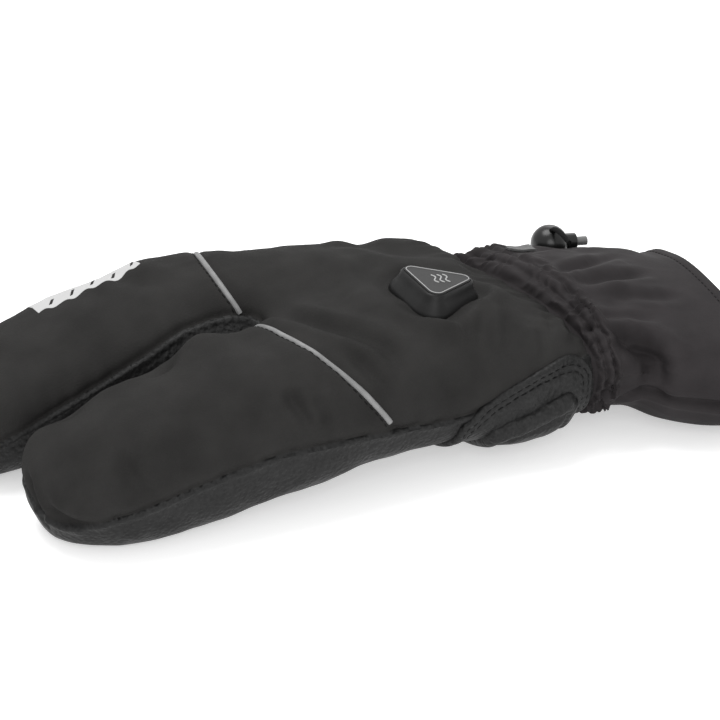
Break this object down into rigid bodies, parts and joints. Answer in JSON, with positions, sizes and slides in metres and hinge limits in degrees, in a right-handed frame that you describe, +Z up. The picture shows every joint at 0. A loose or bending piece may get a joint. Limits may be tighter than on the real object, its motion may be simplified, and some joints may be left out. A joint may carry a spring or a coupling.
{
  "type": "heated glove",
  "caption": "Split-finger heated glove: padded fabric back, leather palm, gathered wrist, open gauntlet with drawcord lock and triangular heat control",
  "frame": {"origin": "middle of the glove's bounding box, on the surface that it lies on, palm down", "axes": "+X to the cuff, -X to the fingertips, +Y to the thumb side, +Z up from the palm to the back of the hand"},
  "size_m": [0.3174, 0.1918, 0.0682],
  "materials": {
    "leather": "fine-grained black leather, semi-matte",
    "shell_fabric": "fine matte charcoal weave",
    "cuff_fabric": "light woven charcoal cloth with a faint sheen",
    "piping": "light grey reflective piping",
    "control_rubber": "moulded black rubber",
    "control_gloss": "dark glossy plate with a pale border line",
    "lock_plastic": "moulded black plastic",
    "cord": "braided black cord and webbing"
  },
  "bodies": {
    "glove": {"palm_leather": "leather", "finger_front_outer": "leather", "finger_front_inner": "leather", "finger_back_outer": "shell_fabric", "finger_back_inner": "shell_fabric", "back_panel": "shell_fabric", "piping_outer": "piping", "piping_inner": "piping", "control_base": "control_rubber", "control_plate": "control_gloss", "thumb_front": "leather", "thumb_back": "shell_fabric", "heel_patch": "leather", "heel_cushion": "leather", "wrist_gather": "cuff_fabric", "gauntlet": "cuff_fabric", "cord_lock": "lock_plastic", "drawcord": "cord", "cord_tab": "cord"},
    "plunger": {"cord_lock_plunger": "lock_plastic"}
  },
  "joints": [
    {"name": "lock_plunger", "type": "slide", "parent": "glove", "child": "plunger", "axis": [-0.9762, 0.2144, 0.0311], "range_m": [0, 0.003], "stiffness_N_per_m": 300}
  ]
}
